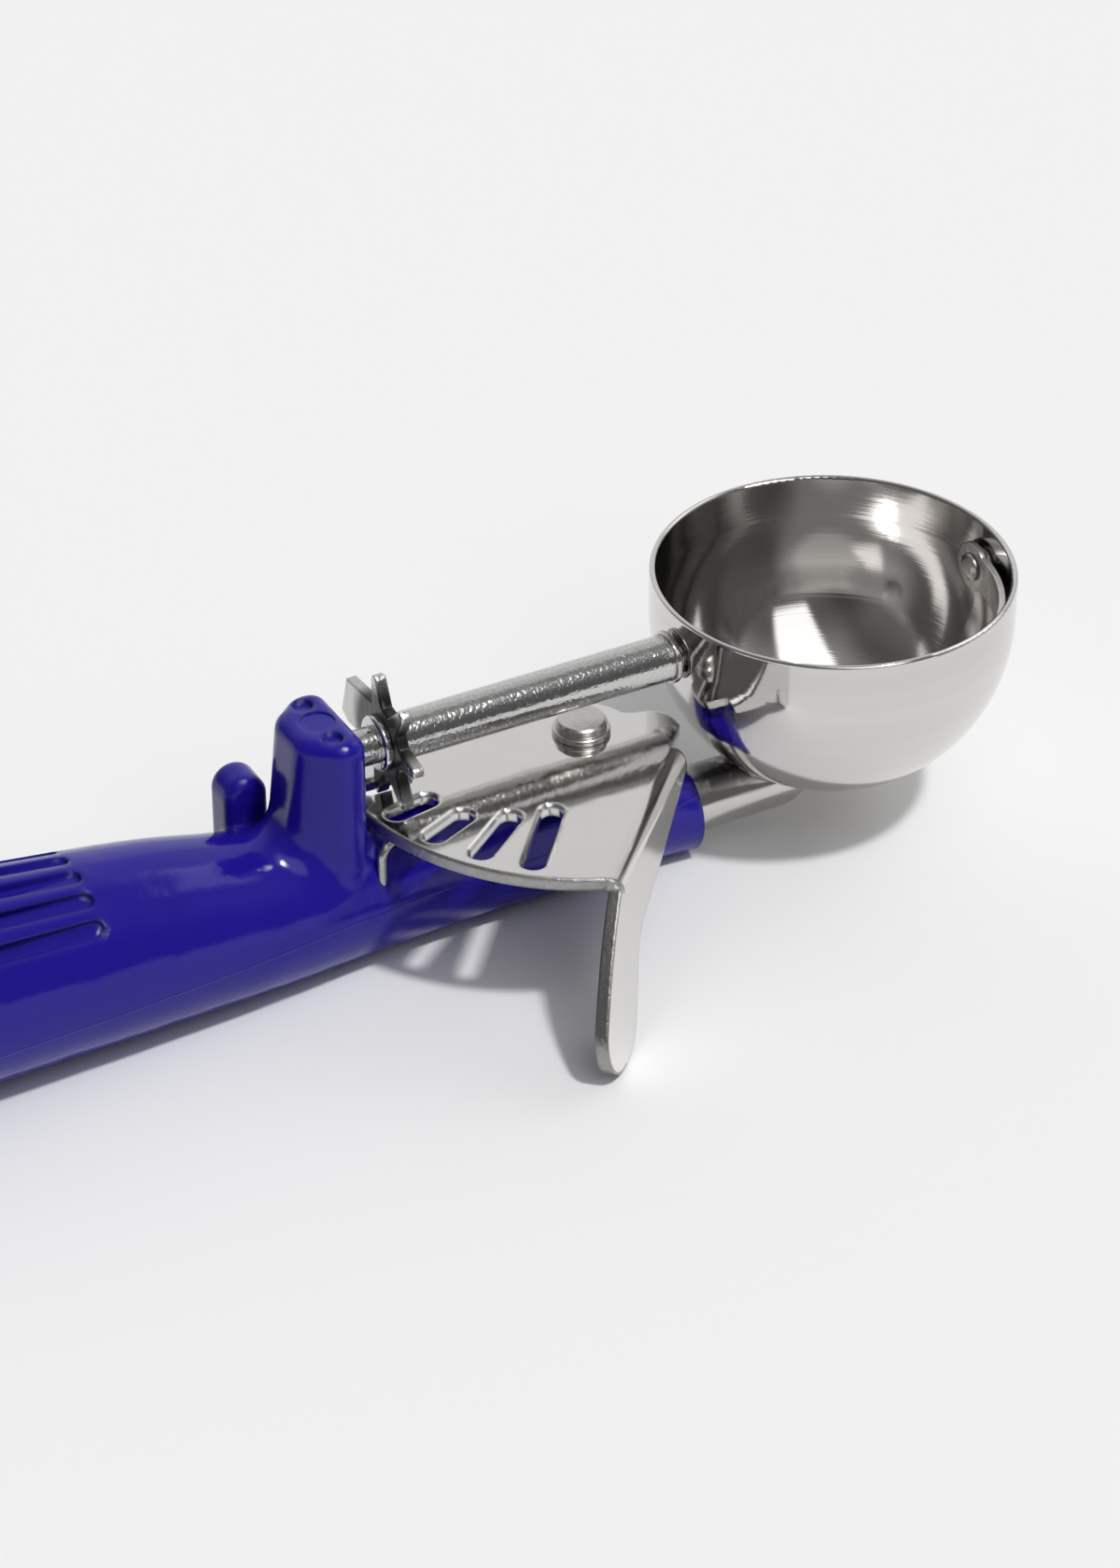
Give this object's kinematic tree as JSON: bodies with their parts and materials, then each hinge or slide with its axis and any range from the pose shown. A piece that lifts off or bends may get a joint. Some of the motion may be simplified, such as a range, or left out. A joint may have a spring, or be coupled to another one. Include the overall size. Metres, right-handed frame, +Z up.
{
  "type": "portion scoop",
  "caption": "Hand portion scoop with a round bowl, plastic grip and a thumb lever that turns a scraper blade through the bowl by a slotted plate and pinion.",
  "frame": {"origin": "on the flat underside of the handle, straight below the lever's rivet", "axes": "+X along the shaft toward the bowl, +Y away from the thumb tab, +Z up"},
  "size_m": [0.2127, 0.079, 0.0457],
  "materials": {
    "blue_plastic": "royal blue moulded plastic, slightly glossy",
    "stainless": "stainless steel, fine satin",
    "polished_stainless": "stainless steel, polished",
    "spring_wire": "drawn spring wire"
  },
  "bodies": {
    "frame": {"handle": "blue_plastic", "shank_tube": "stainless", "bowl": "polished_stainless", "front_pivot_rivet": "stainless", "front_pivot_washer": "stainless", "lever_rivet": "stainless", "rivet_washer": "stainless", "lower_washer": "stainless", "return_spring": "spring_wire"},
    "lever_body": {"lever": "polished_stainless"},
    "shaft_body": {"blade_shaft": "stainless", "pinion": "stainless", "pinion_collar": "stainless", "shaft_ferrule": "stainless", "scraper_blade": "stainless"}
  },
  "joints": [
    {"name": "lever_pivot", "type": "hinge", "parent": "frame", "child": "lever_body", "pos_m": [0, 0, 0.0255], "axis": [0, 0, -1], "range_deg": [0, 46], "stiffness_Nm_per_rad": 0.2, "springref_deg": -17.19, "deforming": ["return_spring"]},
    {"name": "shaft_spin", "type": "hinge", "parent": "frame", "child": "shaft_body", "pos_m": [0, 0, 0.0354], "axis": [1, 0, 0], "range_deg": [0, 179.3]}
  ],
  "couplings": [
    {"joint": "shaft_spin", "follows": "lever_pivot", "ratio": 3.8961}
  ]
}
